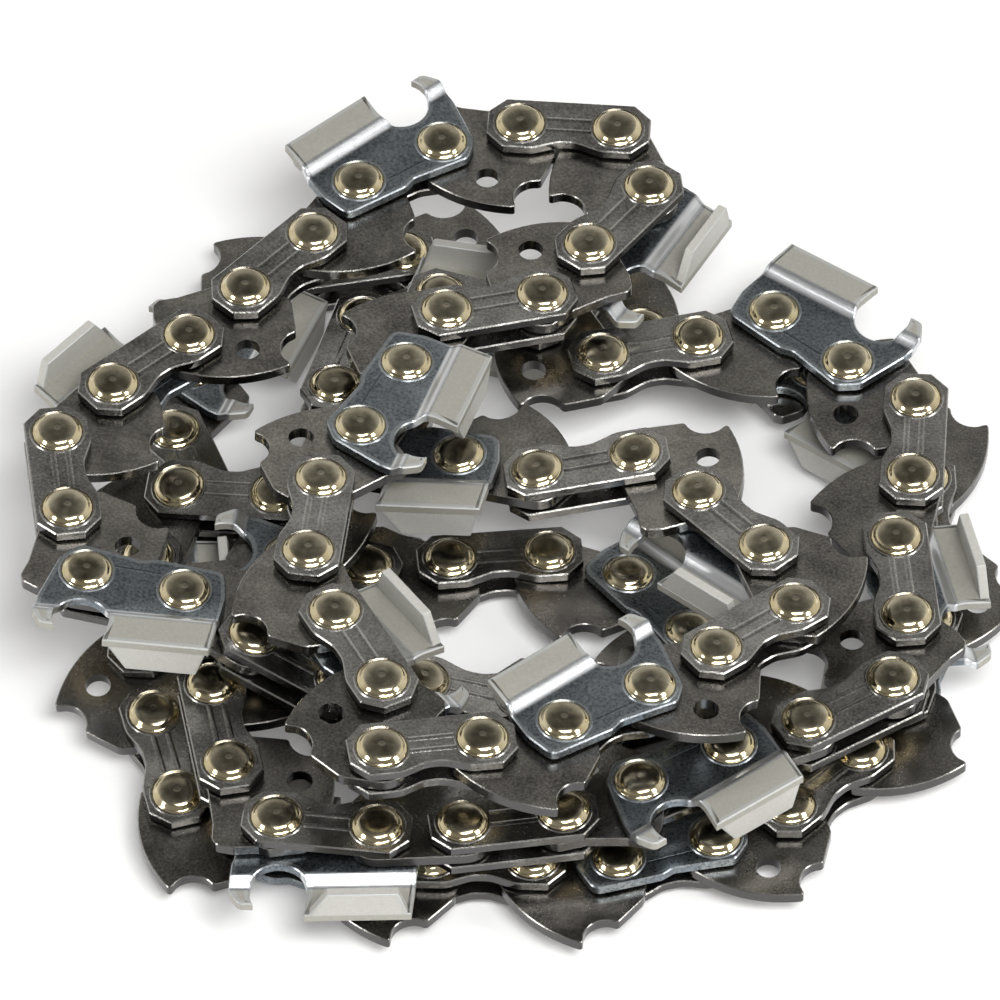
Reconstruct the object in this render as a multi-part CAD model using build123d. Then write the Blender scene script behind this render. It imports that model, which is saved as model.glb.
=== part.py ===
"""Saw chain: one closed loop of riveted links, lying loosely coiled on a flat surface.

Going forward along the loop the links repeat in fours: a cutter on one side, a bumper drive link,
a pair of tie straps, a plain drive link, then the same again with the cutter on the other side.
Each link lies in its own plane: x runs forward along it, y points outward to the cutting side,
z is the rivets' axis. Millimetres, +Z up, origin under the middle of the coil.
"""
from build123d import *
import math
import os

import numpy as np

# Spacing of the rivets along the chain
strap_pitch = 10.1
link_pitch = 8.5

# Plate thicknesses, and the play between a drive link and the straps beside it
drive_gauge = 1.3
strap_gauge = 1.1
side_play = 0.3

# Rivets: shank, fit in the straps, fit in the drive links, heads
shank_radius = 1.7
strap_fit = 0.03
hinge_fit = 0.12
head_radius = 2.45
head_top_radius = 1.5
head_height = 0.85
rivet_sides = 8

# Tie straps: bevelled ends, straight outer edge, shallow waist on the tang side
strap_overhang = 3.4
strap_half_width = 3.3
strap_corner = 1.8
waist_depth = 1.0
waist_length = 7.0
waist_ramp = 2.6

# Drive links: rounded ends, tang with a bulging belly, a tip and a round hook notch ahead of it
link_end_radius = 3.2
tang_depth = 9.7
tang_tip_forward = 4.9
belly_rear = 3.8
belly_drop = 1.0
belly_bulge = 1.4
belly_steps = 4
tang_front_reach = 2.6
tang_corner_depth = 4.0
hook_radius = 2.4
hook_rise = 0.5
hook_mouth_angle = 62.0
hook_steps = 4

# Bumper drive links: the hump on the cutting side, and the hole in the tang
hump_height = 6.3
hump_forward = 1.3
hump_fall = 1.2
hump_length = 2.5
hump_nose = 0.9
tang_hole_radius = 1.3
tang_hole_forward = 3.3
tang_hole_depth = 5.0

# Cutters: side plate and its outward set
cutter_rear = 4.3
cutter_heel_cut = 0.9
cutter_waist = 0.55
cutter_waist_ramp = 1.4
cutter_edge_forward = 6.3
cutter_height = 9.1
relief_angle = 8.0
set_start = 3.4
set_ramp = 1.3
set_out = 0.85

# Cutters: folded top plate, gullet and depth gauge
top_plate_width = 4.2
top_plate_gauge = 1.0
edge_slant = 30.0
heel_slant = 15.0
gullet_radius = 2.9
gullet_bottom = 3.7
gullet_lip_angle = 35.0
gullet_steps = 6
gauge_drop = 0.65
gauge_reach = 4.0
gauge_tip_reach = 1.9
gauge_nose = 1.2
gauge_nose_drop = 1.6
nose_reach = 3.0
nose_corner = 1.8
throat_height = 4.2

# Clearance between the layers of the coil
layer_clearance = 0.3

# Route of the coil, one row for the middle of each strap pair: x, y, heading and the layer it lies in.
# Without a heading the pair points from the pair behind it to the pair ahead. The route was laid out
# for a chain that advances this much per pair, and it grows with the chain.
route_advance = 18.6
route = [
    # Left side and top, on the third layer
    (-34.6, -21.6, 180, 2.02), (-45.0, -5.5, 120, 2.0), (-35.5, 9.1, 37, 2.0), (-22.3, 23.2, 40, 2.0),
    (-10.7, 37.2, 24, 2.0), (7.1, 40.8, -10, 2.0), (11.6, 31.2, -131, 2.0), (-0.3, 18.4, 146, 2.05),
    # Inner loop, from the middle round the front and back under itself
    (-11.4, 3.9, -118, 2.2), (-20.2, -15.0, -89, 2.45), (-12.8, -32.5, -56, 2.58), (-10.1, -42.3, -4, 2.5),
    (10.9, -37.8, 37, 2.27), (28.3, -21.6, 43, 2.05), (22.0, -10.9, 131, 1.9), (9.2, -2.6, -178, 1.6),
    (-8.0, 1.7, 172, 1.28), (-15.5, 14.9, 82, 1.1),
    # On the second layer, round the right and the front
    (-3.0, 23.8, -8, 1.0), (17.0, 15.2, 36, 0.95), (32.4, 17.6, -57, 1.0), (41.2, 6.1, -85, 1.0),
    (40.3, -12.3, -78, 1.0), (38.6, -28.8, -153, 1.0), (17.9, -37.5, -147, 1.0), (-0.5, -46.1, 174, 1.0),
    (-18.4, -43.8, 160, 1.0), (-26.0, -33.7, 112, 1.0), (-23.0, -17.2, 80, 0.99), (-27.5, -2.4, 168, 1.04),
    # Turned back on the left, down to the floor and once round the outside, tangs outward
    (-35.4, -15.2, -94, 0.42), (-32.6, -32.3, -77, 0.04), (-19.3, -42.6, -22, 0.0), (-1.3, -44.8, None, 0.0),
    (16.9, -43.1, None, 0.0), (32.3, -34.2, None, 0.0), (41.5, -18.8, None, 0.0), (43.1, -0.7, 91, 0.0),
    (36.0, 15.5, None, 0.0), (19.5, 23.0, 170, 0.0), (2.5, 30.0, None, 0.0), (-15.5, 34.5, None, 0.0),
    # Turned in to the middle, then back under the inner loop and up to the start
    (-29.5, 23.0, -120, 0.0), (-32.5, 5.5, -70, 0.0), (-18.2, -6.4, -27, 0.0), (0.5, -5.9, 7, 0.03),
    (16.1, -12.5, -51, 0.0), (15.9, -27.6, -144, 0.42), (-5.3, -28.3, 173, 1.06), (-21.3, -27.2, 150, 1.76),
]

# Laying: rounds of settling, pull towards the route, stiffness of the chain against turning, and
# the share of the rounds left at the end without either
lay_rounds = 3000
lay_pull = 0.05
lay_stiffness = 0.02
lay_loose = 0.2
level_rounds = 200
level_pull = 0.2

# From this pair on, the hands of the cutters are swapped: the loop has an odd number of cutters,
# so at one place two of a hand follow each other
hand_repeat = 32

strap_pairs = len(route)
plate_inner = drive_gauge / 2 + side_play
plate_outer = plate_inner + strap_gauge
half_stack = plate_outer + head_height
layer_rise = 2 * half_stack + layer_clearance


def plate(outline, low, high):
    """Flat plate from a face in the XY plane, between two heights."""
    return extrude(Plane.XY.offset(low) * outline, high - low)


def rivet_hole(radius, place):
    """Hole in an outline that clears a shank of this radius turned to any angle."""
    wide = radius / math.cos(math.pi / rivet_sides)
    return Pos(place, 0) * RegularPolygon(wide, rivet_sides)


def arc_points(center, radius, start, stop, steps):
    """Points along an arc, its angles in degrees."""
    angles = [math.radians(start + (stop - start) * step / steps) for step in range(steps + 1)]
    return [(center[0] + radius * math.cos(a), center[1] + radius * math.sin(a)) for a in angles]


def bulged(start, stop, bulge, steps):
    """Points from start to stop along a shallow curve, bulging to the left of the way."""
    way = (stop[0] - start[0], stop[1] - start[1])
    height = 4 * bulge / math.hypot(*way)
    shares = [step / steps for step in range(steps + 1)]
    swell = [height * share * (1 - share) for share in shares]
    return [
        (start[0] + way[0] * share - way[1] * out, start[1] + way[1] * share + way[0] * out)
        for share, out in zip(shares, swell)
    ]


def strap_outline():
    """Tie strap, rear rivet at the origin and front rivet a strap pitch ahead."""
    rear = -strap_overhang
    front = strap_pitch + strap_overhang
    side = strap_half_width
    waist = waist_depth - side
    waist_rear = (strap_pitch - waist_length) / 2
    waist_front = (strap_pitch + waist_length) / 2
    points = [
        (rear, strap_corner - side), (rear + strap_corner, -side),
        (waist_rear, -side), (waist_rear + waist_ramp, waist),
        (waist_front - waist_ramp, waist), (waist_front, -side),
        (front - strap_corner, -side), (front, strap_corner - side),
        (front, side - strap_corner), (front - strap_corner, side),
        (rear + strap_corner, side), (rear, side - strap_corner),
    ]
    face = make_face(Polyline(*points, close=True))
    bore = shank_radius + strap_fit
    return face - rivet_hole(bore, 0) - rivet_hole(bore, strap_pitch)


def tie_strap(upper):
    """One tie strap, above or below the drive links."""
    if upper:
        return plate(strap_outline(), plate_inner, plate_outer)
    return plate(strap_outline(), -plate_outer, -plate_inner)


def drive_link(bumper):
    """Drive link with its tang, and on a bumper link the hump and the hole in the tang."""
    end = link_end_radius
    shoulder = end * math.sqrt(0.5)
    hook_center = (tang_tip_forward + hook_radius, hook_rise - tang_depth)
    tang = bulged((tang_tip_forward, -tang_depth), (-belly_rear, -belly_drop), belly_bulge, belly_steps)
    top = [(0, end), (link_pitch, end)]
    if bumper:
        top = [
            (hump_forward - hump_length / 2, hump_height - hump_fall), (hump_forward, hump_height),
            (hump_forward + hump_nose, hump_height), (hump_forward + hump_length, hump_height - hump_fall),
            (link_pitch - hump_nose, end),
        ]
    front = [(link_pitch + shoulder, shoulder), (link_pitch + end, 0)]
    front.append((link_pitch + tang_front_reach, -tang_corner_depth))
    hook = arc_points(hook_center, hook_radius, hook_mouth_angle, 180, hook_steps)
    outline = tang + [(-shoulder, shoulder)] + top + front + hook
    face = make_face(Polyline(*outline, close=True))
    bore = shank_radius + hinge_fit
    face = face - rivet_hole(bore, 0) - rivet_hole(bore, link_pitch)
    if bumper:
        hole = RegularPolygon(tang_hole_radius, rivet_sides)
        face = face - Pos(tang_hole_forward, -tang_hole_depth) * hole
    return plate(face, -drive_gauge / 2, drive_gauge / 2)


def rivet():
    """Rivet with a plain shank and a low domed head at each end, centred on the drive link."""
    inset = (head_radius - head_top_radius) * math.cos(math.pi / rivet_sides)
    dome = math.degrees(math.atan2(inset, head_height))
    head = extrude(RegularPolygon(head_radius, rivet_sides), head_height, taper=dome)
    head = Pos(0, 0, plate_outer) * head
    shank = plate(RegularPolygon(shank_radius, rivet_sides), -plate_outer, plate_outer)
    return shank + head + mirror(head, Plane.XY)


def cutter(upper):
    """Cutter: a side plate with gullet and depth gauge, set outward, and a folded top plate."""
    relief = math.radians(relief_angle)

    # Section across the plate: flat, then ramped outward, then flat again up to the corner
    far = 2 * cutter_height
    section = make_face(Polyline(
        (-far, 0), (-far, strap_gauge), (set_start, strap_gauge),
        (set_start + set_ramp, strap_gauge + set_out), (far, strap_gauge + set_out),
        (far, set_out), (set_start + set_ramp, set_out), (set_start, 0), close=True,
    ))
    across = Plane(origin=(0, 0, plate_inner), x_dir=(0, 1, 0), z_dir=(1, 0, 0))
    bent = Rot(0, 0, relief_angle) * extrude(across * section, far, both=True)

    # Side outline: top line, rear end, waisted lower edge, depth gauge, gullet, cutting edge
    rear = -cutter_rear
    side = strap_half_width
    rear_top = cutter_height - (cutter_edge_forward + cutter_rear) * math.tan(relief)
    gauge_top = cutter_height - gauge_drop
    gauge_front = strap_pitch + gauge_reach
    gauge_tip = strap_pitch + gauge_tip_reach
    gullet_center = (gauge_tip - gullet_radius, gullet_bottom + gullet_radius)
    waist_middle = strap_pitch / 2
    outline = [
        (cutter_edge_forward, cutter_height), (rear, rear_top), (rear, 0),
        (rear + cutter_heel_cut, -side), (waist_middle - cutter_waist_ramp, -side),
        (waist_middle, cutter_waist - side),
        (strap_pitch + nose_reach - nose_corner, -side), (strap_pitch + nose_reach, nose_corner - side),
        (gauge_front, throat_height), (gauge_front, gauge_top - gauge_nose_drop),
        (gauge_front - gauge_nose, gauge_top),
    ]
    outline += arc_points(gullet_center, gullet_radius, gullet_lip_angle, -180, gullet_steps)
    face = make_face(Polyline(*outline, close=True))
    bore = shank_radius + strap_fit
    face = face - rivet_hole(bore, 0) - rivet_hole(bore, strap_pitch)
    blade = bent & plate(face, 0, half_stack + set_out)

    # Top plate, folded from the corner across the chain, its cutting edge slanting back
    outer = plate_outer + set_out
    inner = outer - top_plate_width
    lead = top_plate_width * math.tan(math.radians(edge_slant))
    trail = top_plate_width * math.tan(math.radians(heel_slant))
    run = (cutter_edge_forward + cutter_rear) / math.cos(relief)
    cover = make_face(Polyline(
        (0, outer), (-lead, inner), (trail - run, inner), (-run, outer), close=True,
    ))
    corner = Plane(origin=(0, 0, 0), x_dir=(1, 0, 0), z_dir=(0, -1, 0))
    roof = extrude(corner * cover, top_plate_gauge)
    roof = Pos(cutter_edge_forward, cutter_height) * Rot(0, 0, relief_angle) * roof
    solid = blade + roof
    if not upper:
        solid = mirror(solid, Plane.XY)
    return solid


def lay_chain():
    """Rivet centres along the closed loop, at the exact spacings, close to the laid route."""
    grow = (strap_pitch + link_pitch) / route_advance
    middles = np.array([(x * grow, y * grow) for x, y, heading, layer in route])
    levels = np.array([half_stack + layer * layer_rise for x, y, heading, layer in route])
    chord = np.roll(middles, -1, axis=0) - np.roll(middles, 1, axis=0)
    angles = np.degrees(np.arctan2(chord[:, 1], chord[:, 0]))
    angles = [free if row[2] is None else row[2] for free, row in zip(angles, route)]
    ahead = np.array([(math.cos(math.radians(a)), math.sin(math.radians(a))) for a in angles])
    reach = strap_pitch / 2
    share = reach / (strap_pitch + link_pitch)
    target = np.zeros((2 * strap_pairs, 2))
    target[0::2] = middles - ahead * reach
    target[1::2] = middles + ahead * reach
    height = np.zeros(2 * strap_pairs)
    height[0::2] = levels + (np.roll(levels, 1) - levels) * share
    height[1::2] = levels + (np.roll(levels, -1) - levels) * share
    spacing = np.tile([strap_pitch, link_pitch], strap_pairs)
    spacing = np.sqrt(spacing**2 - (np.roll(height, -1) - height) ** 2)
    place = target.copy()
    for turn in range(lay_rounds):
        fade = max(0.0, 1 - turn / (lay_rounds * (1 - lay_loose)))
        place += (target - place) * lay_pull * fade
        bend = (np.roll(place, 1, axis=0) + np.roll(place, -1, axis=0)) / 2 - place
        bend -= (np.roll(bend, 1, axis=0) + np.roll(bend, -1, axis=0)) / 2
        place += bend * lay_stiffness * fade
        for first in (0, 1):
            here = np.arange(first, 2 * strap_pairs, 2)
            there = (here + 1) % (2 * strap_pairs)
            step = place[there] - place[here]
            length = np.linalg.norm(step, axis=1)
            shift = step * ((length - spacing[here]) / length / 2)[:, None]
            place[here] += shift
            place[there] -= shift
    return np.column_stack([place, height])


def link_planes(rivets):
    """Plane of each link in turn, strap pairs and drive links, tilted as little as can be."""
    count = len(rivets)
    along = np.roll(rivets, -1, axis=0) - rivets
    along /= np.linalg.norm(along, axis=1)[:, None]
    upright = np.tile([0.0, 0.0, 1.0], (count, 1))
    for turn in range(level_rounds):
        near = np.roll(upright, 1, axis=0) + np.roll(upright, -1, axis=0) + [0, 0, level_pull]
        near -= along * np.sum(near * along, axis=1)[:, None]
        upright = near / np.linalg.norm(near, axis=1)[:, None]
    return [
        Plane(origin=tuple(rivets[i]), x_dir=tuple(along[i]), z_dir=tuple(upright[i]))
        for i in range(count)
    ]


def assemble():
    """Every piece in its place, as lists of solids under their node names."""
    bumper_link = drive_link(bumper=True)
    plain_link = drive_link(bumper=False)
    upper_strap = tie_strap(upper=True)
    lower_strap = tie_strap(upper=False)
    left_cutter = cutter(upper=True)
    right_cutter = cutter(upper=False)
    pin = rivet()
    planes = link_planes(lay_chain())
    nodes = {}

    def put(name, shape, place):
        nodes.setdefault(name, []).append(place * shape)

    lefts = 0
    rights = 0
    for pair in range(strap_pairs):
        strap_place = planes[2 * pair].location
        link_place = planes[2 * pair + 1].location
        turn = pair if pair < hand_repeat else pair + 2
        if turn % 4 == 0:
            lefts += 1
            put(f"left_cutter_{lefts:02d}", left_cutter, strap_place)
            put("cutter_straps", lower_strap, strap_place)
        elif turn % 4 == 2:
            rights += 1
            put(f"right_cutter_{rights:02d}", right_cutter, strap_place)
            put("cutter_straps", upper_strap, strap_place)
        else:
            put("upper_tie_straps", upper_strap, strap_place)
            put("lower_tie_straps", lower_strap, strap_place)
        if pair % 2 == 0:
            put("bumper_drive_links", bumper_link, link_place)
        else:
            put("plain_drive_links", plain_link, link_place)
        put("rivets", pin, strap_place)
        put("rivets", pin, strap_place * Pos(strap_pitch, 0, 0))
    return nodes


nodes = assemble()
box = Compound([solid for solids in nodes.values() for solid in solids]).bounding_box()
to_origin = Pos(-(box.min.X + box.max.X) / 2, -(box.min.Y + box.max.Y) / 2, -box.min.Z)
os.makedirs("parts", exist_ok=True)
for name, solids in nodes.items():
    placed = [to_origin * solid for solid in solids]
    group = placed[0] if len(placed) == 1 else Compound(placed)
    export_step(group, f"parts/{name}.step")
print(len(nodes), "nodes,", sum(len(solids) for solids in nodes.values()), "solids, box", box.size)
print("moved by", to_origin.position, "to the origin")
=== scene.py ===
# %% [markdown]
# # A coiled saw chain
# The object is one loop of saw chain, lying loosely coiled on a white table. Its CAD model is the fixed
# frame: every link of it is already in its place. This script reads the places of the rivets from that
# frame, lays finer links on them and gives every kind of steel on the chain its own finish.

# %% Load the frame
import math

import bmesh
import bpy
from mathutils import Matrix, Vector


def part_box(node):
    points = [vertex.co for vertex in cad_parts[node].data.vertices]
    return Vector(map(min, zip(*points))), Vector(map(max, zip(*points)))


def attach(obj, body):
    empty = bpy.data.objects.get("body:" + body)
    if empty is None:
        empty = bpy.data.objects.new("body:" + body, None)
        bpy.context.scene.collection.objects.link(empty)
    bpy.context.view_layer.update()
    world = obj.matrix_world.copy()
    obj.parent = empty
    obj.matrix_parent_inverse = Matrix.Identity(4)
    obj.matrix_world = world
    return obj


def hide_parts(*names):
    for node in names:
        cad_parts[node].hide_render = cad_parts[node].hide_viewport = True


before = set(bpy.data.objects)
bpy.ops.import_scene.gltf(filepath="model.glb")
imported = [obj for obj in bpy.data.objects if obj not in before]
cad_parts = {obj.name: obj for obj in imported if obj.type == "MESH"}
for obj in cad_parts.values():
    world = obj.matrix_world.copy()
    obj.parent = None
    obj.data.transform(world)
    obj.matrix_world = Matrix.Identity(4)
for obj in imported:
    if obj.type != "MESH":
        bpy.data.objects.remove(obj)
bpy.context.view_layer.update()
MM = 0.001
print("CAD nodes:", len(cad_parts))

# %% [markdown]
# ## The chain's own order
# A chain is a row of rivets, spaced in turn by a strap and by a drive link. The places could be typed as a
# long list, but the CAD model already has them: each of its rivets is a loose solid, so its middle and its
# axis can be measured. Going from one rivet to the one that is exactly a strap or a link further on gives
# the order of the whole loop.

# %% Measure the rivets
merge_distance = 1e-7
facing_up = 0.9


def loose_solids(node):
    """Middle and upward axis of each loose solid of a CAD node, from a merged copy of its mesh."""
    copy = bmesh.new()
    copy.from_mesh(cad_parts[node].data)
    copy.transform(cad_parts[node].matrix_world)
    bmesh.ops.remove_doubles(copy, verts=copy.verts, dist=merge_distance)
    found = []
    seen = set()
    for start in copy.verts:
        if start in seen:
            continue
        group = [start]
        seen.add(start)
        for vert in group:
            for edge in vert.link_edges:
                neighbour = edge.other_vert(vert)
                if neighbour not in seen:
                    seen.add(neighbour)
                    group.append(neighbour)
        middle = sum((v.co for v in group), Vector()) / len(group)
        faces = dict.fromkeys(face for vert in group for face in vert.link_faces)
        axis = sum((f.normal * f.calc_area() for f in faces if f.normal.z > facing_up), Vector())
        found.append((middle, axis.normalized()))
    copy.free()
    return found


loose_rivets = loose_solids("rivets")
print(len(loose_rivets), "rivets measured")

# %% Follow the chain
strap_pitch = 10.1 * MM
link_pitch = 8.5 * MM


def follow_chain(found):
    """The rivets in the chain's order, the first two joined by a strap."""
    order = [found[0]]
    waiting = found[1:]
    step = strap_pitch
    while waiting:
        here = order[-1][0]
        nearest = min(waiting, key=lambda rivet: abs((rivet[0] - here).length - step))
        waiting.remove(nearest)
        order.append(nearest)
        step = link_pitch if step == strap_pitch else strap_pitch
    return order


rivets = follow_chain(loose_rivets)
gap = (rivets[-1][0] - rivets[0][0]).length / MM
print("the loop closes over", round(gap, 3), "mm")

# %% [markdown]
# ## A frame for each link
# Every link gets a frame of its own: x runs forward along the chain, y points outward to the cutting side
# and z is the rivets' axis. A link can then be drawn once, flat, and laid anywhere. Which way is forward
# shows in the cutters, which stand on the left of the chain. The same look tells which strap pairs carry a
# cutter, and on which side.

# %% Frames of the strap pairs and of the drive links
# About where the middle of a left cutter lies in the frame of its strap pair.
cutter_middle = Vector((4.9, 2.9, 1.2)) * MM


def link_frame(rear, front, axis):
    """Matrix of a link that runs from its rear rivet to its front one."""
    forward = (front - rear).normalized()
    upward = (axis - forward * axis.dot(forward)).normalized()
    outward = upward.cross(forward)
    turn = Matrix((forward, outward, upward)).transposed().to_4x4()
    return Matrix.Translation(rear) @ turn


def strap_frames(order):
    """Frames of the strap pairs, each on two rivets that follow each other."""
    pairs = zip(order[0::2], order[1::2])
    return [link_frame(rear[0], front[0], rear[1]) for rear, front in pairs]


def find_cutters(frames):
    """How badly the cutter nodes fit on these strap pairs, and the node on each pair that has one."""
    taken = {}
    misfit = 0
    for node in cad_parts:
        if "_cutter_" not in node:
            continue
        low, high = (Vector(corner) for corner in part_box(node))
        side = 1 if node.startswith("left") else -1
        guess = Vector((cutter_middle.x, cutter_middle.y, cutter_middle.z * side))
        errors = [((low + high) / 2 - place @ guess).length for place in frames]
        best = min(range(len(frames)), key=lambda index: errors[index])
        taken[best] = node
        misfit += errors[best]
    return misfit, taken


ways = [rivets, rivets[::-1]]
rivets = min(ways, key=lambda order: find_cutters(strap_frames(order))[0])
straps = strap_frames(rivets)
misfit, cutter_of = find_cutters(straps)
links = []
for pair in range(len(straps)):
    rear, front = rivets[2 * pair + 1], rivets[(2 * pair + 2) % len(rivets)]
    links.append(link_frame(rear[0], front[0], rear[1] + front[1]))
print(len(cutter_of), "cutters found, mean distance", round(misfit / len(cutter_of) / MM, 2), "mm")

# %% [markdown]
# ## Nodes written as sums
# Both the materials and the layout of the chain are node trees. Made one node and one link at a time they
# would be hard to read, so a socket is wrapped in a small class: a plus, a minus or a times between two of
# them adds a Math node, and one method makes any other node from its type, its settings and what goes in.

# %% The bench for node trees


class Bench:
    """A node tree that is being built."""

    def __init__(self, tree):
        self.tree = tree

    def node(self, kind, inputs=None, output=None, **settings):
        """Adds a node and gives back one of its outputs, or nothing if it has none."""
        made = self.tree.nodes.new(kind)
        for name, value in settings.items():
            setattr(made, name, value)
        for key, value in (inputs or {}).items():
            if isinstance(key, int):
                socket = made.inputs[key]
            else:
                socket = next(s for s in made.inputs if s.name == key and s.enabled)
            if isinstance(value, Wire):
                self.tree.links.new(value.socket, socket)
            else:
                socket.default_value = value
        open_outputs = [s for s in made.outputs if s.enabled]
        if not open_outputs:
            return None
        if output is None:
            return Wire(open_outputs[0])
        return Wire(next(s for s in open_outputs if s.name == output))


class Wire:
    """An output socket, on which sums are written as plain arithmetic."""

    def __init__(self, socket):
        self.socket = socket

    def maths(self, operation, *terms):
        """A Math node on these terms."""
        bench = Bench(self.socket.id_data)
        return bench.node("ShaderNodeMath", dict(enumerate(terms)), operation=operation)

    def __add__(self, other):
        return self.maths("ADD", self, other)

    def __sub__(self, other):
        return self.maths("SUBTRACT", self, other)

    def __rsub__(self, other):
        return self.maths("SUBTRACT", other, self)

    def __mul__(self, other):
        return self.maths("MULTIPLY", self, other)

    def __abs__(self):
        return self.maths("ABSOLUTE", self)

    __radd__ = __add__
    __rmul__ = __mul__

    def rising(self, low, high):
        """From 0 at the low value to 1 at the high one, smoothly."""
        limits = {"Value": self, "From Min": low, "From Max": high}
        bench = Bench(self.socket.id_data)
        return bench.node("ShaderNodeMapRange", limits, interpolation_type="SMOOTHSTEP")


print("bench ready")

# %% [markdown]
# ## What the finishes share
# Three kinds of steel are on the chain: dark oily plates, plated cutters and polished rivets. They all need
# noise at a size in millimetres, a mix of two colours and a shader with a bump. Each finish also reads the
# place on its own link from an attribute called local, so that a band or a groove stays on the link it
# belongs to wherever the link lies. Other attributes mark edges, walls and top plates.

# %% Helpers for the finishes


def new_finish(name):
    """An empty material, the bench for its nodes, and the wires that every finish starts from."""
    material = bpy.data.materials.new(name)
    material.use_nodes = True
    tree = material.node_tree
    tree.nodes.clear()
    bench = Bench(tree)
    local = bench.node("ShaderNodeAttribute", output="Vector", attribute_name="local")
    split = bench.node("ShaderNodeSeparateXYZ", {"Vector": local}).socket.node
    wires = {
        "place": bench.node("ShaderNodeTexCoord", output="Object"),
        "x": Wire(split.outputs["X"]) * (1 / MM),
        "y": Wire(split.outputs["Y"]) * (1 / MM),
        "z": Wire(split.outputs["Z"]) * (1 / MM),
        "local": local,
    }
    for mark in ("edge", "wall", "roof", "piece"):
        wires[mark] = bench.node("ShaderNodeAttribute", output="Fac", attribute_name=mark)
    return material, bench, wires


def noise(bench, place, size, detail, stretch=None):
    """Noise with spots of about this size in millimetres."""
    if stretch:
        place = bench.node("ShaderNodeMapping", {"Vector": place, "Scale": stretch})
    inputs = {"Vector": place, "Scale": 1 / (size * MM), "Detail": detail}
    return bench.node("ShaderNodeTexNoise", inputs, output="Fac")


def mix(bench, share, first, second):
    """Colour between two colours."""
    inputs = {"Factor": share, "A": first, "B": second}
    return bench.node("ShaderNodeMix", inputs, data_type="RGBA")


def rgb(red, green, blue):
    """An opaque colour."""
    return (red, green, blue, 1.0)


def finish(bench, colour, metallic, roughness, bump, depth):
    """Principled shader with a bump, joined to the material's output."""
    normal = bench.node("ShaderNodeBump", {"Height": bump, "Distance": depth * MM, "Strength": 1.0})
    inputs = {"Base Color": colour, "Metallic": metallic, "Roughness": roughness, "Normal": normal}
    shader = bench.node("ShaderNodeBsdfPrincipled", inputs)
    bench.node("ShaderNodeOutputMaterial", {"Surface": shader})


print("helpers ready")

# %% [markdown]
# ## Dark oily steel
# Straps and drive links are punched from sheet, blackened and oiled. One flat grey would look like plastic,
# so the tone comes from a fine grain and from broad clouds of oil, and each link differs a little from the
# next. The punched walls are darkened with painted shade, and the sheared edges are lightened partly by
# wear and partly by a painted highlight.

# %% Dark oily steel of the straps and drive links
grain_size, oil_cloud_size = 0.28, 4.0
dark_bump_depth = 0.016
wall_painted_shade = rgb(0.09, 0.088, 0.087)
wear_and_highlight_colour = rgb(0.34, 0.33, 0.31)
wear_and_highlight_fade = (0.6, 0.9)


def dark_steel(name, shade, light):
    """Blackened steel: fine grain, cloudy oil film, edges lightened by wear and painted highlight, walls
    with painted shade.
    """
    material, bench, on = new_finish(name)
    grain = noise(bench, on["place"], grain_size, 3.0)
    cloud = noise(bench, on["place"], oil_cloud_size, 2.0)
    share = (grain - 0.5) * 1.4 + cloud * 1.2 + on["piece"] * 0.35 - 0.25
    colour = mix(bench, share, shade, light)
    # Painted shade: the walls are mixed towards a near-black colour.
    colour = mix(bench, on["wall"] * 0.9, colour, wall_painted_shade)
    # Edges, and collars by half, are lightened partly as wear and partly as a painted highlight.
    wear_and_highlight = on["edge"].rising(*wear_and_highlight_fade) * (0.2 + grain)
    colour = mix(bench, wear_and_highlight, colour, wear_and_highlight_colour)
    roughness = 0.13 + cloud * 0.16 + grain * 0.08 - on["wall"] * 0.06
    finish(bench, colour, 1.0, roughness, grain + cloud * 4, dark_bump_depth)
    return material


strap_steel = dark_steel("strap_steel", rgb(0.14, 0.136, 0.131), rgb(0.5, 0.488, 0.465))
link_steel = dark_steel("link_steel", rgb(0.105, 0.099, 0.092), rgb(0.4, 0.381, 0.35))
print("made", strap_steel.name, "and", link_steel.name)

# %% [markdown]
# ## Plated steel
# A cutter is plated a blue-grey. Its bend is polished in streaks and brightened further by a painted
# highlight, and above the bend it is pale and satin. Three materials on cut faces would leave hard borders,
# so one material fades between the zones by the height above the rivets, measured square to the slightly
# falling top. A fine groove runs between the rivets, darkened with painted shade, and the rim is lightened
# with a painted highlight.

# %% Plated steel of the cutters
relief = math.radians(8)
bend_low, bend_high = 3.3, 4.9
bend_fade = 0.35
speck_size, plating_cloud_size, streak_size = 0.3, 5.0, 0.16
streak_stretch = (0.04, 1.0, 1.0)
groove_depth, groove_slope = 1.55, 0.04
groove_side_fade, groove_start_fade, groove_end_fade = (0.06, 0.16), (2.5, 2.9), (7.2, 7.6)
rim_fade, rim_share = (0.3, 0.5), 0.45
plated_bump_depth = 0.014
rim_highlight_colour = rgb(0.5, 0.53, 0.55)
groove_shade_colour = rgb(0.05, 0.06, 0.07)


def groove_mask(on):
    """1 in the fine groove between the rivets, and 0 elsewhere."""
    line = 1 - abs(on["y"] + groove_depth - groove_slope * on["x"]).rising(*groove_side_fade)
    return line * on["x"].rising(*groove_start_fade) * (1 - on["x"].rising(*groove_end_fade))


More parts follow.
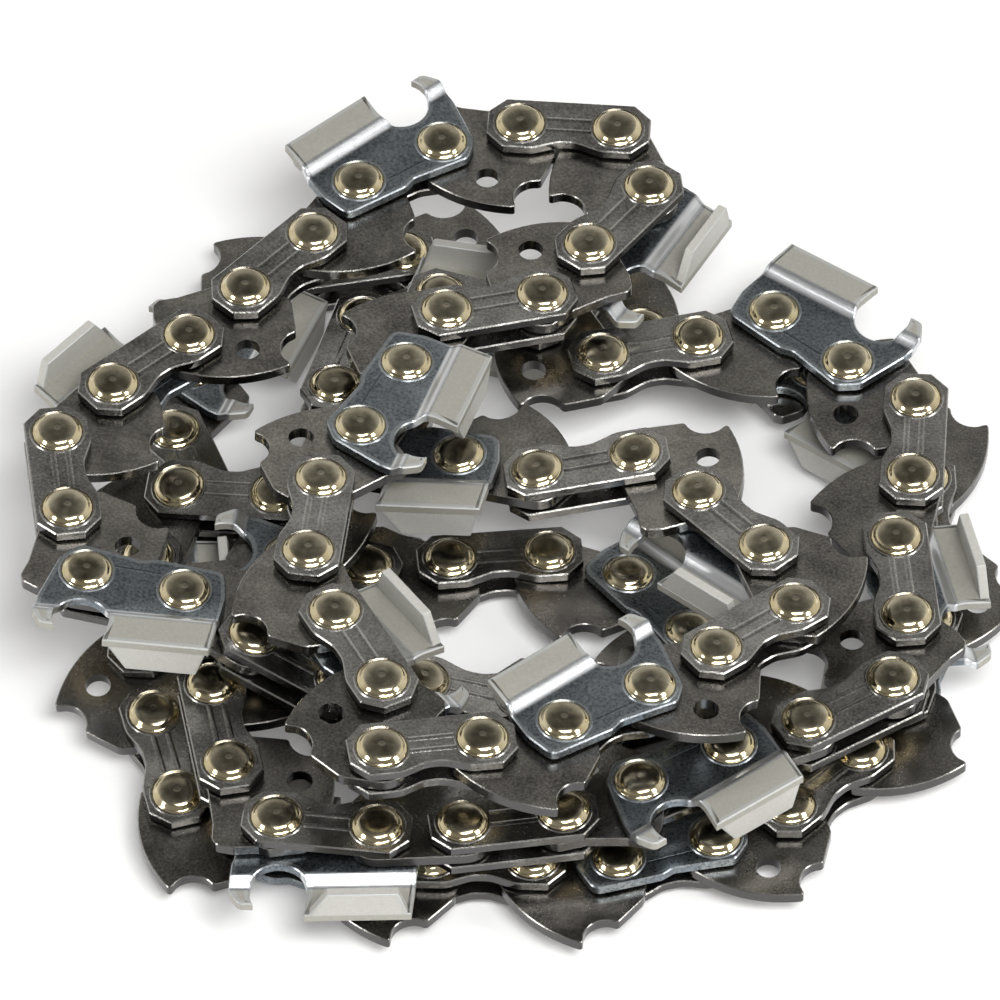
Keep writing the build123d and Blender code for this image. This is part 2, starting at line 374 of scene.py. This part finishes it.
def cutter_steel():
    """Plated steel: speckled blue-grey plate, streaked bend brightened by polish and painted highlight,
    pale satin above it.
    """
    material, bench, on = new_finish("cutter_plate")
    height = on["y"] * math.cos(relief) - on["x"] * math.sin(relief)
    bend_end = 1 - height.rising(bend_high - bend_fade, bend_high)
    bend = height.rising(bend_low, bend_low + bend_fade) * bend_end
    above = height.rising(bend_high - 0.3, bend_high + 0.1)
    speck = noise(bench, on["place"], speck_size, 3.0)
    cloud = noise(bench, on["place"], plating_cloud_size, 2.0)
    turned = bench.node("ShaderNodeMapping", {"Vector": on["local"], "Rotation": (0, 0, -relief)})
    streak = noise(bench, turned, streak_size, 2.0, streak_stretch)
    share = (speck - 0.5) * 1.8 + cloud * 0.7 + on["piece"] * 0.2
    plating = mix(bench, share, rgb(0.085, 0.1, 0.115), rgb(0.32, 0.355, 0.38))
    pale = mix(bench, speck, rgb(0.33, 0.32, 0.28), rgb(0.46, 0.45, 0.4))
    # Partly polish, partly painted highlight: the bend is mixed towards near white in streaks.
    bright = mix(bench, streak, rgb(0.5, 0.53, 0.57), rgb(0.98, 0.98, 0.97))
    satin = mix(bench, speck, rgb(0.45, 0.44, 0.41), rgb(0.6, 0.59, 0.55))
    colour = mix(bench, above, plating, pale)
    colour = mix(bench, bend, colour, bright)
    colour = mix(bench, on["roof"], colour, satin)
    # Painted highlight: the rim is mixed towards a pale grey.
    colour = mix(bench, on["edge"].rising(*rim_fade) * rim_share, colour, rim_highlight_colour)
    groove = groove_mask(on)
    # Painted shade: the groove is darkened.
    colour = mix(bench, groove * 0.6, colour, groove_shade_colour)
    roughness = 0.22 + speck * 0.14 + above * 0.18 + bend * 0.05
    bump = speck * 0.4 + cloud * 4 + streak * bend * 0.6 - groove * 2
    metallic = 0.97 - on["roof"] * 0.75 - above * (1 - on["roof"]) * 0.6
    finish(bench, colour, metallic, roughness, bump, plated_bump_depth)
    return material


cutter_plate = cutter_steel()
print("made", cutter_plate.name)

# %% [markdown]
# ## Polished rivets
# A rivet's head is polished and a little golden on its shoulder. The crown is duller, with a painted dark
# reflection towards its middle and a small dimple there. The crown is found by its height on the rivet and
# the rest by the distance from the axis, so no part of the head needs a material of its own.

# %% Polished steel of the rivets
crown_fade = (2.62, 2.74)
# Squares of the distance from the axis, in square millimetres.
dimple_fade, crown_reflection_fade = (0.02, 0.22), (0.3, 2.6)
head_cloud_size, head_grain_size = 1.2, 0.2
polished_bump_depth = 0.013
crown_reflection_colour = rgb(0.08, 0.068, 0.05)
dimple_colour = rgb(0.4, 0.37, 0.3)


def polished_steel():
    """Golden steel, bright on the shoulder, with a duller crown that has a painted dark reflection in its
    middle and a dimple.
    """
    material, bench, on = new_finish("rivet_steel")
    cloud = noise(bench, on["place"], head_cloud_size, 3.0)
    fine = noise(bench, on["place"], head_grain_size, 2.0)
    crown = abs(on["z"]).rising(*crown_fade)
    gold = mix(bench, cloud, rgb(0.62, 0.5, 0.25), rgb(0.82, 0.75, 0.57))
    share = cloud * 0.9 + fine * 0.3 + on["piece"] * 0.4 - 0.35
    dull = mix(bench, share, rgb(0.18, 0.155, 0.105), rgb(0.62, 0.57, 0.43))
    off_axis_squared = on["x"] * on["x"] + on["y"] * on["y"]
    dimple = 1 - off_axis_squared.rising(*dimple_fade)
    # Painted reflection: the crown is darkened towards its middle, mottled by the cloud.
    crown_reflection = (1 - off_axis_squared.rising(*crown_reflection_fade)) * (1.1 - cloud)
    dull = mix(bench, crown_reflection, dull, crown_reflection_colour)
    dull = mix(bench, dimple * 0.5, dull, dimple_colour)
    colour = mix(bench, crown, gold, dull)
    roughness = 0.09 + cloud * 0.06 + crown * (0.05 + cloud * 0.12)
    bump = cloud + fine * 0.3 - dimple * 2
    finish(bench, colour, 1.0, roughness, bump, polished_bump_depth)
    return material


rivet_steel = polished_steel()
print("made", rivet_steel.name)

# %% [markdown]
# ## Outlines and plates
# All the links are punched from sheet. A Bevel modifier on a cut-out would round their edges too, but its
# faces would still have to be sorted into edge, rim and wall for the finishes. So one helper builds the
# plate ring by ring from an outline and some holes, with a narrow bevel round it, and marks each ring in
# attributes as it goes.

# %% Helpers for outlines
most_of_a_side = 0.48


def rounded(corners, steps=5):
    """An outline from corners (x, y, rounding), in millimetres, each eased by a short curve."""
    points = []
    for index, (x, y, radius) in enumerate(corners):
        here = Vector((x, y))
        if radius == 0:
            points.append(here)
            continue
        back = Vector(corners[index - 1][:2]) - here
        ahead = Vector(corners[(index + 1) % len(corners)][:2]) - here
        reach = radius / math.tan(back.angle(ahead) / 2)
        reach = min(reach, most_of_a_side * back.length, most_of_a_side * ahead.length)
        start, end = here + back.normalized() * reach, here + ahead.normalized() * reach
        for step in range(steps + 1):
            t = step / steps
            points.append(start * (1 - t) ** 2 + here * (2 * t * (1 - t)) + end * t ** 2)
    return points


def arc(x, y, radius, start, stop, steps):
    """Points on an arc, as corners with no rounding."""
    angles = [math.radians(start + (stop - start) * step / steps) for step in range(steps + 1)]
    return [(x + radius * math.cos(a), y + radius * math.sin(a), 0) for a in angles]


def circle(x, y, radius, sides=16):
    """Points of a round hole."""
    return [Vector(p[:2]) for p in arc(x, y, radius, 0, 360, sides)[:-1]]


def inset(points, depth):
    """The same outline moved inward; it runs anticlockwise."""
    moved = []
    for index, here in enumerate(points):
        before = (here - points[index - 1]).normalized()
        after = (points[(index + 1) % len(points)] - here).normalized()
        mitre = Vector((-before.y - after.y, before.x + after.x))
        moved.append(here + mitre * (2 * depth / max(mitre.length_squared, 1.0)))
    return moved


print("outline helpers ready")

# %% Helpers for punched plates
# Marks for edge and wall of the bands round a plate, from its lower rim to its upper one.
band_marks = ((0.5, 0), (1, 0), (0, 1), (1, 0), (0.5, 0))
crease = math.radians(28)


def plate(outline, holes, low, high, bevel, rim):
    """Plate between two heights, in millimetres, as a bmesh with the edge and wall attributes."""
    mesh = bmesh.new()
    edge_mark = mesh.faces.layers.float.new("edge")
    wall_mark = mesh.faces.layers.float.new("wall")
    levels = [(rim, low), (bevel, low), (0, low + bevel), (0, high - bevel), (bevel, high), (rim, high)]
    rings = [[mesh.verts.new((*p, z)) for p in inset(outline, depth)] for depth, z in levels]
    count = len(outline)
    for lower, upper, marks in zip(rings, rings[1:], band_marks):
        for i in range(count):
            j = (i + 1) % count
            face = mesh.faces.new((lower[i], lower[j], upper[j], upper[i]))
            face[edge_mark], face[wall_mark] = marks
    ends = [[rings[0]], [rings[-1]]]
    for hole in holes:
        lower, upper = ([mesh.verts.new((*p, z)) for p in hole] for z in (low, high))
        for i in range(len(hole)):
            j = (i + 1) % len(hole)
            face = mesh.faces.new((lower[j], lower[i], upper[i], upper[j]))
            face[wall_mark] = 1
        ends[0].append(lower)
        ends[1].append(upper)
    for loops in ends:
        border = [mesh.edges.get((ring[i], ring[i - 1])) for ring in loops for i in range(len(ring))]
        bmesh.ops.triangle_fill(mesh, edges=border, use_beauty=True)
    bmesh.ops.recalc_face_normals(mesh, faces=mesh.faces)
    return mesh


def to_object(name, mesh, flip=False):
    """Finished prototype of a link: metres, smooth where the faces run on, mirrored in z if asked."""
    bmesh.ops.scale(mesh, vec=(MM, MM, -MM if flip else MM), verts=mesh.verts)
    if flip:
        bmesh.ops.reverse_faces(mesh, faces=mesh.faces)
    for face in mesh.faces:
        face.smooth = True
    for edge in mesh.edges:
        edge.smooth = len(edge.link_faces) == 2 and edge.calc_face_angle() < crease
    data = bpy.data.meshes.new(name)
    mesh.to_mesh(data)
    mesh.free()
    made = bpy.data.objects.new(name, data)
    bpy.context.collection.objects.link(made)
    print(name, len(data.polygons), "faces")
    return made


print("plate helpers ready")

# %% [markdown]
# ## Tie straps
# A tie strap is a small plate with cut corners, straight on the cutting side and a little waisted on the
# side of the tangs. Two ridges run along it between the rivets, and a thin collar stands round each rivet
# where its head was set. Bump would show these from above but not at a grazing angle, so they are low
# closed strips that sink slightly into the plate.

# %% Ridges and collars
plate_low, plate_high = 0.95, 2.05
pitch = strap_pitch / MM
sunk = 0.03
strip_crest = 0.3
same_point = 1e-6
collar_radius, collar_width, collar_rise, collar_shine = 2.72, 0.4, 0.12, 0.75
collar_sides = 22


def strip(mesh, path, width, low, high, shine):
    """A low closed ridge along a closed or open path of points, with sloping sides and this edge mark."""
    closed = (path[0] - path[-1]).length < same_point
    points = path[:-1] if closed else path
    count = len(points)
    section = ((-1.0, low), (-strip_crest, high), (strip_crest, high), (1.0, low))
    rings = []
    for i, here in enumerate(points):
        before = points[i - 1] if closed or i > 0 else here
        after = points[(i + 1) % count] if closed or i < count - 1 else here
        along = (after - before).normalized()
        across = Vector((-along.y, along.x)) * (width / 2)
        rings.append([mesh.verts.new((*(here + across * side), z)) for side, z in section])
    runs = list(zip(rings, rings[1:]))
    if closed:
        runs.append((rings[-1], rings[0]))
    else:
        mesh.faces.new(rings[0])
        mesh.faces.new(rings[-1][::-1])
    made = []
    for a, b in runs:
        for k in range(len(section)):
            n = (k + 1) % len(section)
            made.append(mesh.faces.new((a[k], a[n], b[n], b[k])))
    for face in made:
        face[mesh.faces.layers.float["edge"]] = shine
    bmesh.ops.recalc_face_normals(mesh, faces=made)


def rivet_collars(mesh, height):
    """Thin collars round both rivets of a strap or cutter."""
    for x in (0, pitch):
        ring = [Vector(p[:2]) for p in arc(x, 0, collar_radius, 0, 360, collar_sides)]
        strip(mesh, ring, collar_width, height - sunk, height + collar_rise, collar_shine)


print("strip helpers ready")

# %% The strap's prototypes
shank = 1.7
tight_fit = 0.03
plate_bevel, strap_rim = 0.13, 0.4
ridge_offset, ridge_width, ridge_rise, ridge_shine = 0.75, 0.75, 0.1, 0.65
ridge_start, ridge_end = 2.75, 7.35
strap_corners = [
    (-3.4, -1.5, 0.3), (-1.6, -3.3, 0.3), (1.55, -3.3, 3.0), (4.15, -2.3, 3.0), (5.95, -2.3, 3.0),
    (8.55, -3.3, 3.0), (11.7, -3.3, 0.3), (13.5, -1.5, 0.3), (13.5, 1.5, 0.3), (11.7, 3.3, 0.3),
    (-1.6, 3.3, 0.3), (-3.4, 1.5, 0.3),
]


def strap_holes():
    """The two holes in which the rivets are tight."""
    return [circle(0, 0, shank + tight_fit), circle(pitch, 0, shank + tight_fit)]


def strap_shape():
    """A strap on the upper side of the chain."""
    mesh = plate(rounded(strap_corners), strap_holes(), plate_low, plate_high, plate_bevel, strap_rim)
    for side in (-ridge_offset, ridge_offset):
        ends = [Vector((ridge_start, side)), Vector((ridge_end, side))]
        strip(mesh, ends, ridge_width, plate_high - sunk, plate_high + ridge_rise, ridge_shine)
    rivet_collars(mesh, plate_high)
    return mesh


upper_strap = to_object("upper_strap_shape", strap_shape())
lower_strap = to_object("lower_strap_shape", strap_shape(), flip=True)

# %% [markdown]
# ## Drive links
# A drive link hangs between the straps. Its tang runs in the groove of the guide bar and ends in a hook
# that drags the oil along. Every other link has a hump on the cutting side and a hole in the tang. Both
# kinds share most of their outline, so one function draws it and changes the top for the hump.

# %% The drive links' prototypes
half_gauge = 0.65
reach = link_pitch / MM
link_end = 3.2
running_fit = 0.12
link_bevel, link_rim = 0.1, 0.25
belly_start, belly_way = Vector((-3.8, -1.0)), Vector((8.7, -8.7))
belly_bulge, belly_steps = 1.4, 12
tang_tip, tang_corner, rear_corner = (4.9, -9.7, 0.6), (11.1, -4.0, 1.5), (-3.8, -1.0, 0.5)
tang_hole = (3.3, -5.0, 1.3)
tang_hole_sides = 20
hook = arc(7.3, -9.2, 2.4, 165, 80, 7) + [(8.43, -7.08, 0.6)]
hump = [(7.6, 3.2, 2.0), (3.8, 5.1, 2.0), (2.2, 6.3, 0.8), (1.3, 6.3, 0.8)]
hump_foot = (0.05, 5.1, 1.2)


def belly():
    """Points of the tang's bulging rear edge, between its rear corner and its tip."""
    points = []
    for step in range(1, belly_steps):
        t = step / belly_steps
        swell = Vector((belly_way.y, -belly_way.x)).normalized() * (4 * belly_bulge * t * (1 - t))
        points.append((*(belly_start + belly_way * t + swell), 0))
    return points


def drive_link_shape(bumper):
    """A drive link, with the hump and the hole of a bumper link if asked."""
    front = [tang_corner] + arc(reach, 0, link_end, 0, 90, 8)
    rear = arc(0, 0, link_end, 90, 135, 4) + [rear_corner] + belly()
    if bumper:
        # The hump takes the place of the last points of the front arc and the first of the rear one.
        front = front[:7] + hump
        rear = [hump_foot] + rear[2:]
    outline = rounded([tang_tip] + hook + front + rear)
    holes = [circle(0, 0, shank + running_fit), circle(reach, 0, shank + running_fit)]
    if bumper:
        holes.append(circle(*tang_hole, tang_hole_sides))
    return plate(outline, holes, -half_gauge, half_gauge, link_bevel, link_rim)


bumper_link = to_object("bumper_link_shape", drive_link_shape(True))
plain_link = to_object("plain_link_shape", drive_link_shape(False))

# %% [markdown]
# ## Cutters
# A cutter is a side plate with a round gullet between the cutting edge and the depth gauge. Above the
# rivets the plate is set outward, and at its top it is folded over the chain. The plate is built flat, cut
# along the bend and then moved outward there, so that the bend keeps the thickness of the sheet. The
# folded top is a plate of its own that meets the side plate at the fold.

# %% The folded top plate
edge_x, edge_y = 6.3, 9.1
rear_x = -4.3
set_start, set_ramp, set_out = 3.4, 1.3, 0.85
roof_width, roof_gauge = 4.2, 1.0
roof_bevel, roof_rim = 0.08, 0.16
roof_tuck, roof_clear, roof_sunk = 0.15, 0.1, 0.02
edge_slant, heel_slant = math.radians(30), math.radians(15)


def add_roof(mesh):
    """The folded top plate, its cutting edge slanting back from the corner."""
    outer = plate_high + set_out
    inner = outer - roof_width
    tucked = outer - roof_tuck
    lead = roof_width * math.tan(edge_slant)
    trail = roof_width * math.tan(heel_slant)
    run = (edge_x - rear_x) / math.cos(relief) - roof_clear
    corners = [
        (-roof_clear, tucked, 0.1), (-run, tucked, 0.1), (trail - run, inner, 0.2), (-lead, inner, 0.15),
    ]
    roof = plate(rounded(corners, 3), [], -roof_gauge, -roof_sunk, roof_bevel, roof_rim)
    roof_mark = roof.faces.layers.float.new("roof")
    for face in roof.faces:
        face[roof_mark] = 1
    stand = Matrix(((1, 0, 0, 0), (0, 0, 1, 0), (0, 1, 0, 0), (0, 0, 0, 1)))
    turn = Matrix.Translation((edge_x, edge_y, 0)) @ Matrix.Rotation(relief, 4, "Z") @ stand
    bmesh.ops.transform(roof, matrix=turn, verts=roof.verts)
    bmesh.ops.recalc_face_normals(roof, faces=roof.faces)
    data = bpy.data.meshes.new("roof")
    roof.to_mesh(data)
    roof.free()
    mesh.from_mesh(data)
    bpy.data.meshes.remove(data)


print("top plate", roof_width, "mm wide")

# %% The cutter's prototypes
cutter_rim = 0.5
bend_cuts = 5
cut_tolerance = 1e-5
rear_top = edge_y - (edge_x - rear_x) * math.tan(relief)
cutter_corners = [
    (edge_x, edge_y, 0.12), (rear_x, rear_top, 0.15), (rear_x, 0.0, 3.0), (-3.4, -3.3, 1.3),
    (3.65, -3.3, 1.5), (5.05, -2.75, 1.5), (11.3, -3.3, 1.2), (13.1, -1.5, 1.6),
    (14.1, 4.2, 2.0), (14.1, 6.85, 1.0), (12.9, 8.45, 0.9),
]
gullet = arc(9.1, 6.6, 2.9, 35, -180, 22)


def smooth_step(value):
    """From 0 to 1 with a soft start and a soft end."""
    value = min(max(value, 0.0), 1.0)
    return value * value * (3 - 2 * value)


def cutter_shape():
    """A left cutter: side plate with its bend, collars and folded top."""
    outline = rounded(cutter_corners + gullet)
    mesh = plate(outline, strap_holes(), plate_low, plate_high, plate_bevel, cutter_rim)
    normal = Vector((-math.sin(relief), math.cos(relief), 0))
    for step in range(bend_cuts):
        line = normal * (set_start + set_ramp * step / (bend_cuts - 1))
        everything = mesh.verts[:] + mesh.edges[:] + mesh.faces[:]
        bmesh.ops.bisect_plane(
            mesh, geom=everything, dist=cut_tolerance, plane_co=line, plane_no=normal,
        )
    for vert in mesh.verts:
        vert.co.z += set_out * smooth_step((vert.co.dot(normal) - set_start) / set_ramp)
    rivet_collars(mesh, plate_high)
    add_roof(mesh)
    return mesh


left_cutter = to_object("left_cutter_shape", cutter_shape())
right_cutter = to_object("right_cutter_shape", cutter_shape(), flip=True)

# %% [markdown]
# ## Laying the links
# The same link is needed many times over. Copying objects in a loop would do it too, but a Geometry Nodes
# tree lays all of a kind in one mesh: each point of a small mesh holds the place and the turn of one link,
# the tree puts the prototype there, gives every copy a number of its own for small differences in tone, and
# makes the copies real.

# %% Helpers that build a tree


def new_tree(name, sockets):
    """An empty geometry tree with these named inputs, and the wires of the inputs."""
    tree = bpy.data.node_groups.new(name, "GeometryNodeTree")
    tree.interface.new_socket("Geometry", in_out="OUTPUT", socket_type="NodeSocketGeometry")
    for label, kind in sockets.items():
        tree.interface.new_socket(label, in_out="INPUT", socket_type=kind)
    entry = tree.nodes.new("NodeGroupInput")
    return Bench(tree), {label: Wire(entry.outputs[label]) for label in sockets}


def lay_on_points(bench, given, shape):
    """Copies of a shape on the points, each turned as its point says, made real in one finish."""
    position = bench.node("GeometryNodeInputPosition")
    shape = bench.node("GeometryNodeStoreNamedAttribute", {
        "Geometry": shape, "Name": "local", "Value": position,
    }, data_type="FLOAT_VECTOR", domain="POINT")
    turn = bench.node("GeometryNodeInputNamedAttribute", {"Name": "turn"}, data_type="QUATERNION")
    copies = bench.node("GeometryNodeInstanceOnPoints", {
        "Points": given["Points"], "Instance": shape, "Rotation": turn,
    })
    tone = bench.node("FunctionNodeRandomValue", {
        "Min": 0.0, "Max": 1.0, "Seed": given["Seed"],
    }, data_type="FLOAT")
    copies = bench.node("GeometryNodeStoreNamedAttribute", {
        "Geometry": copies, "Name": "piece", "Value": tone,
    }, data_type="FLOAT", domain="INSTANCE")
    real = bench.node("GeometryNodeRealizeInstances", {"Geometry": copies})
    done = bench.node("GeometryNodeSetMaterial", {"Geometry": real, "Material": given["Finish"]})
    bench.node("NodeGroupOutput", {"Geometry": done})


print("helpers to build a tree ready")

# %% Helpers that run a tree


def points_mesh(name, frames):
    """A mesh with one point per link and its turn in an attribute."""
    data = bpy.data.meshes.new(name)
    data.from_pydata([place.translation for place in frames], [], [])
    turn = data.attributes.new("turn", "QUATERNION", "POINT")
    for entry, place in zip(turn.data, frames):
        entry.value = place.to_quaternion()
    return data


def lay(name, tree, frames, values, nodes):
    """Runs a tree on the frames, keeps the result as a plain mesh and puts it in place of the CAD nodes."""
    carrier = bpy.data.objects.new(name + "_points", points_mesh(name + "_points", frames))
    bpy.context.collection.objects.link(carrier)
    modifier = carrier.modifiers.new("lay", "NODES")
    modifier.node_group = tree
    for item in tree.interface.items_tree:
        if item.in_out == "INPUT" and item.name in values:
            modifier[item.identifier] = values[item.name]
    evaluated = carrier.evaluated_get(bpy.context.evaluated_depsgraph_get())
    data = bpy.data.meshes.new_from_object(evaluated)
    data.name = name
    made = bpy.data.objects.new(name, data)
    bpy.context.collection.objects.link(made)
    carrier.modifiers.remove(modifier)
    bpy.data.objects.remove(carrier)
    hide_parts(*nodes)
    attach(made, "root")
    print(name, len(frames), "laid,", len(data.polygons), "faces")


print("helpers to run a tree ready")

# %% The tree that lays links
bench, given = new_tree("lay links", {
    "Points": "NodeSocketGeometry", "Shape": "NodeSocketObject", "Finish": "NodeSocketMaterial",
    "Seed": "NodeSocketInt",
})
picked = bench.node("GeometryNodeObjectInfo", {"Object": given["Shape"]}, output="Geometry")
lay_on_points(bench, given, picked)
lay_links = bench.tree
print("tree", lay_links.name, "with", len(lay_links.nodes), "nodes")

# %% [markdown]
# ## The chain's links in their places
# A cutter takes the place of one strap of its pair, so a plain strap lies on the other side of it. A bumper
# link follows each pair with a cutter, and a plain link each pair of tie straps. The table below says for
# each kind of piece which shape it has, on which frames it lies, which CAD nodes it stands for and which
# finish it takes. Its rows are numbered, and the number is the seed of the row's differences in tone.

# %% Straps, drive links and cutters
pairs = range(len(straps))
lefts = [k for k in pairs if cutter_of.get(k, "").startswith("left")]
rights = [k for k in pairs if cutter_of.get(k, "").startswith("right")]
ties = [k for k in pairs if k not in cutter_of]
bumpers = [k for k in pairs if k in cutter_of]
left_nodes = [cutter_of[k] for k in lefts]
right_nodes = [cutter_of[k] for k in rights]
steels = {"strap_steel": strap_steel, "link_steel": link_steel, "cutter_plate": cutter_plate}
plan = (
    ("tie_straps_upper", upper_strap, straps, ties, ["upper_tie_straps"], "strap_steel"),
    ("tie_straps_lower", lower_strap, straps, ties, ["lower_tie_straps"], "strap_steel"),
    ("bumper_links", bumper_link, links, bumpers, ["bumper_drive_links"], "link_steel"),
    ("plain_links", plain_link, links, ties, ["plain_drive_links"], "link_steel"),
    ("left_cutters", left_cutter, straps, lefts, left_nodes, "cutter_plate"),
    ("right_cutters", right_cutter, straps, rights, right_nodes, "cutter_plate"),
    ("cutter_straps_lower", lower_strap, straps, lefts, ["cutter_straps"], "strap_steel"),
    ("cutter_straps_upper", upper_strap, straps, rights, ["cutter_straps"], "strap_steel"),
)
for seed, (name, shape, frames, chosen, nodes, slot) in enumerate(plan, start=1):
    values = {"Shape": shape, "Finish": steels[slot], "Seed": seed}
    lay(name, lay_links, [frames[k] for k in chosen], values, nodes)

# %% [markdown]
# ## Rivets
# A rivet has a shank that nearly fills its holes and at each end a head with a narrow flange, a steep
# shoulder and a broad, low crown. A spun profile would give the same head, but here the tree makes it, so
# that its sizes are named inputs: a disc is pulled upward in steps and each step is scaled. The steps give
# the share of the radius and of the height that each ring has reached. Then the tree lays the rivet a
# hundred times, as the links were laid.

# %% The tree that makes and lays rivets
head_steps = (
    (1.0, 0.12), (0.94, 0.2), (0.88, 0.36), (0.83, 0.58),
    (0.75, 0.77), (0.62, 0.9), (0.4, 0.97), (0.15, 1.0),
)
shank_sides = 12

bench, given = new_tree("rivets", {
    "Points": "NodeSocketGeometry", "Finish": "NodeSocketMaterial", "Seed": "NodeSocketInt",
    "Head radius": "NodeSocketFloat", "Head height": "NodeSocketFloat", "Shank radius": "NodeSocketFloat",
    "Grip": "NodeSocketFloat", "Sides": "NodeSocketInt",
})
disc = bench.node("GeometryNodeMeshCircle", {
    "Vertices": given["Sides"], "Radius": given["Head radius"],
}, fill_type="NGON")
top = None
dome = disc
last_width, last_height = 1.0, 0.0
for width, height in head_steps:
    rise = given["Head height"] * (height - last_height)
    inputs = {"Mesh": dome, "Offset Scale": rise, "Individual": False}
    if top:
        inputs["Selection"] = top
    dome = bench.node("GeometryNodeExtrudeMesh", inputs, mode="FACES")
    top = Wire(dome.socket.node.outputs["Top"])
    shrink = {"Geometry": dome, "Selection": top, "Scale": width / last_width}
    dome = bench.node("GeometryNodeScaleElements", shrink)
    last_width, last_height = width, height
smooth = bench.node("GeometryNodeSetShadeSmooth", {"Geometry": dome})
lift = bench.node("ShaderNodeCombineXYZ", {"Z": given["Grip"] * 0.5})
upper_head = bench.node("GeometryNodeTransform", {"Geometry": smooth, "Translation": lift})
lower_head = bench.node("GeometryNodeTransform", {"Geometry": upper_head, "Rotation": (math.pi, 0, 0)})
pin = bench.node("GeometryNodeMeshCylinder", {
    "Vertices": shank_sides, "Radius": given["Shank radius"], "Depth": given["Grip"],
}, fill_type="NONE")
join = bench.node("GeometryNodeJoinGeometry")
for part in (upper_head, lower_head, pin):
    bench.tree.links.new(part.socket, join.socket.node.inputs["Geometry"])
lay_on_points(bench, given, join)
lay_rivets = bench.tree
print("tree", lay_rivets.name, "with", len(lay_rivets.nodes), "nodes")

# %% Rivets in their places
head_radius, head_height, head_sides = 2.56, 0.83, 20
rivet_seed = 9

rivet_frames = []
for k in pairs:
    rivet_frames += [straps[k], straps[k] @ Matrix.Translation((strap_pitch, 0, 0))]
rivet_values = {
    "Finish": rivet_steel, "Seed": rivet_seed, "Head radius": head_radius * MM,
    "Head height": head_height * MM, "Shank radius": shank * MM, "Grip": 2 * plate_high * MM,
    "Sides": head_sides,
}
lay("rivets_polished", lay_rivets, rivet_frames, rivet_values, ["rivets"])

# %% [markdown]
# ## Clearing up
# The prototypes have served. Left in the scene they would count as pieces of the chain, so they go.

# %% Clear the prototypes away
for shape in (upper_strap, lower_strap, bumper_link, plain_link, left_cutter, right_cutter):
    bpy.data.objects.remove(shape)

# %% [markdown]
# ## Table
# The chain lies on a white table that runs out of the picture on all sides. White paint alone would render
# grey away from the lamps, and more light would bleach the steel. So the table glows a little where it is
# seen directly or in a reflection, and is plain matt white otherwise, and it keeps the chain's shadow.

# %% The table
far = 6.0
table_glow = 0.1
table = bpy.data.meshes.new("table")
table.from_pydata([(-far, -far, 0), (far, -far, 0), (far, far, 0), (-far, far, 0)], [], [(0, 1, 2, 3)])
floor = bpy.data.objects.new("table", table)
bpy.context.collection.objects.link(floor)

white = bpy.data.materials.new("white_table")
white.use_nodes = True
white.node_tree.nodes.clear()
bench = Bench(white.node_tree)
paths = bench.node("ShaderNodeLightPath").socket.node
seen = Wire(paths.outputs["Is Camera Ray"]) + Wire(paths.outputs["Is Glossy Ray"])
seen = seen + Wire(paths.outputs["Is Transmission Ray"])
matt = bench.node("ShaderNodeBsdfDiffuse", {"Color": rgb(0.95, 0.95, 0.95)})
glow = bench.node("ShaderNodeEmission", {"Color": rgb(1, 1, 1), "Strength": 1.0})
sheet = bench.node("ShaderNodeMixShader", {0: seen * table_glow, 1: matt, 2: glow})
bench.node("ShaderNodeOutputMaterial", {"Surface": sheet})
table.materials.append(white)
print("table", 2 * far, "m wide")

# %% [markdown]
# ## Light
# Three soft lamps light the chain, a broad one from the front and a small one from each side. Polished
# domes mirror the whole room, so the room matters as much as the lamps: it is dim overhead and on the
# camera's side, and lighter low down behind the chain.

# %% The room
overhead_light = 0.12
front_light, behind_light = 0.15, 0.5
overhead_fade, behind_fade = (0.4, 0.95), (-0.5, 0.3)
room_tint = rgb(1, 0.985, 0.95)

world = bpy.data.worlds.new("room")
world.use_nodes = True
world.node_tree.nodes.clear()
bench = Bench(world.node_tree)
way = bench.node("ShaderNodeTexCoord", output="Generated")
towards = bench.node("ShaderNodeSeparateXYZ", {"Vector": way}).socket.node
height = Wire(towards.outputs["Z"])
behind = Wire(towards.outputs["Y"]).rising(*behind_fade)
light = overhead_light + (1 - height.rising(*overhead_fade)) * (front_light + behind * behind_light)
room = bench.node("ShaderNodeBackground", {"Color": room_tint, "Strength": light})
bench.node("ShaderNodeOutputWorld", {"Surface": room})
bpy.context.scene.world = world
print("room made")

# %% The lamps
# Place and size in metres, power in watts.
lamps = {
    "lamp_front": ((0.18, -0.4, 0.75), (0.5, 0.3), 6.9),
    "lamp_left": ((-0.6, -0.3, 0.32), (0.15, 0.25), 1.2),
    "lamp_right": ((0.6, -0.25, 0.35), (0.15, 0.25), 1.2),
}


def softbox(name, place, size, power):
    """An area lamp that faces the middle of the coil."""
    data = bpy.data.lights.new(name, "AREA")
    data.shape = "RECTANGLE"
    data.size, data.size_y = size
    data.energy = power
    lamp = bpy.data.objects.new(name, data)
    lamp.location = place
    lamp.rotation_euler = (-Vector(place)).to_track_quat("-Z", "Y").to_euler()
    bpy.context.collection.objects.link(lamp)


for name, (place, size, power) in lamps.items():
    softbox(name, place, size, power)
print(len(lamps), "softboxes")

# %% [markdown]
# ## Camera
# The photograph looks down at about fifty degrees from far off with a long lens, so the near and the far
# side of the coil are almost the same size. The numbers were found by setting the rivet heads of the model
# over those of the photograph.

# %% The camera
target = Vector((-2.459, 0.535, 10.0)) * MM
azimuth, elevation = math.radians(0.6), math.radians(50.11)
distance = 1.2
sensor_width, lens = 36, 425.17

camera_data = bpy.data.cameras.new("camera")
camera_data.sensor_width = sensor_width
camera_data.lens = lens
camera = bpy.data.objects.new("camera", camera_data)
across = math.cos(elevation)
back = Vector((math.sin(azimuth) * across, -math.cos(azimuth) * across, math.sin(elevation)))
camera.location = target + back * distance
camera.rotation_euler = back.to_track_quat("Z", "Y").to_euler()
bpy.context.collection.objects.link(camera)
bpy.context.scene.camera = camera
bpy.context.scene.view_settings.view_transform = "Standard"
print("camera", distance, "m away")
